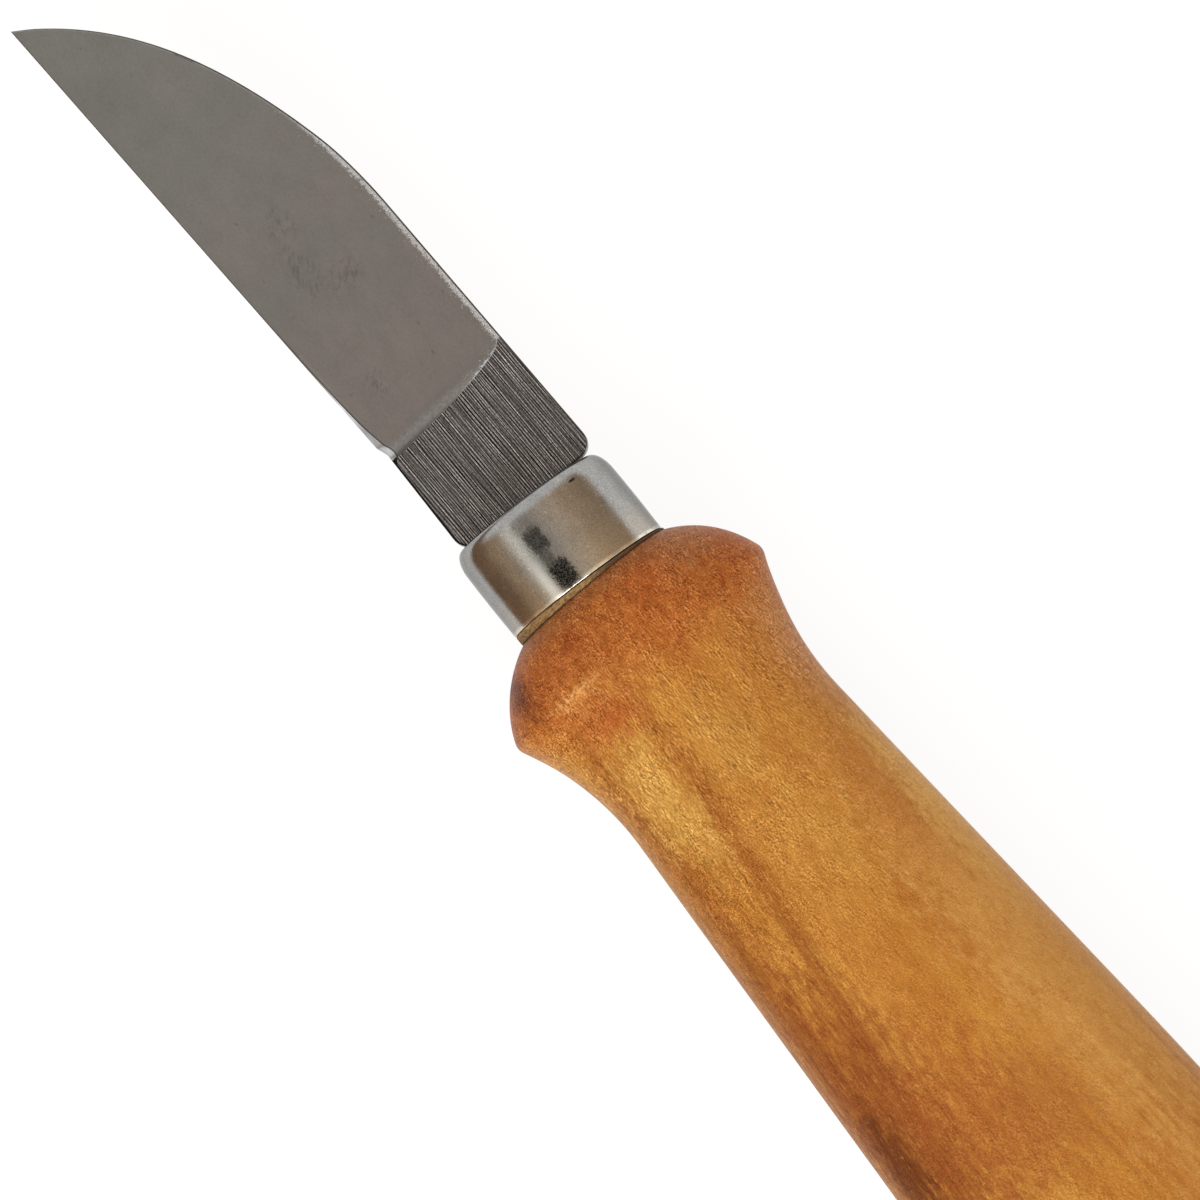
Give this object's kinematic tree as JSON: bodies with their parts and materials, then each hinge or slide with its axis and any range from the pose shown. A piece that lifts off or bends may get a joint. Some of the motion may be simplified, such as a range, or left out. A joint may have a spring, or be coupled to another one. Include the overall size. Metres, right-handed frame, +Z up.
{
  "type": "wood carving knife",
  "caption": "Short wood carving knife: ground blade with a straight edge and curved spine, bright ferrule, and a ridged, waisted hardwood handle for whittling.",
  "frame": {"origin": "under the middle of the knife's length and width, on the surface that it lies on", "axes": "+X from the tip to the butt, +Y towards the spine, +Z up, square to the blade's side"},
  "size_m": [0.17, 0.0244, 0.02],
  "materials": {
    "blade_steel": "fine ground, satin",
    "ferrule_plating": "bright nickel plating",
    "handle_wood": "satin lacquer on orange-brown hardwood",
    "cured_glue": "cured epoxy"
  },
  "bodies": {
    "root": {"blade": "blade_steel", "ferrule": "ferrule_plating", "handle": "handle_wood", "tang_adhesive": "cured_glue"}
  },
  "joints": []
}
